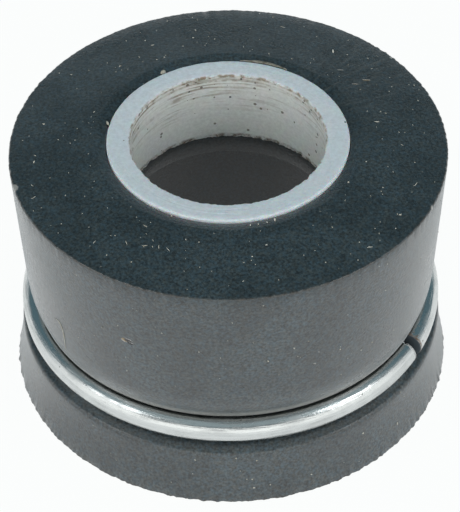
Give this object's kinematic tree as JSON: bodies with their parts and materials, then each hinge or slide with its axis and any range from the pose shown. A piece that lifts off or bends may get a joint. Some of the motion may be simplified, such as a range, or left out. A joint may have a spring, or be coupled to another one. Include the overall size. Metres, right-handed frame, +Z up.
{
  "type": "valve stem seal",
  "caption": "Rubber cap seal for an engine valve stem, with a white plastic wiper insert in its crown and a split wire ring round its neck.",
  "frame": {"origin": "centre of the skirt's foot, on the surface that the seal stands on", "axes": "+Z up along the stem's axis, from the open socket to the insert's face; the wire's split lies at about -30 degrees from +X"},
  "size_m": [0.02, 0.02, 0.0126],
  "materials": {
    "rubber_body": "satin moulded black rubber, slightly bluish, with fine mould texture",
    "ptfe_plastic": "matte white, with faint brown wear marks in the bore",
    "zinc_wire": "bright zinc plated wire with light rub marks"
  },
  "bodies": {
    "root": {"seal_body": "rubber_body", "ptfe_insert": "ptfe_plastic", "clamp_ring": "zinc_wire"}
  },
  "joints": []
}
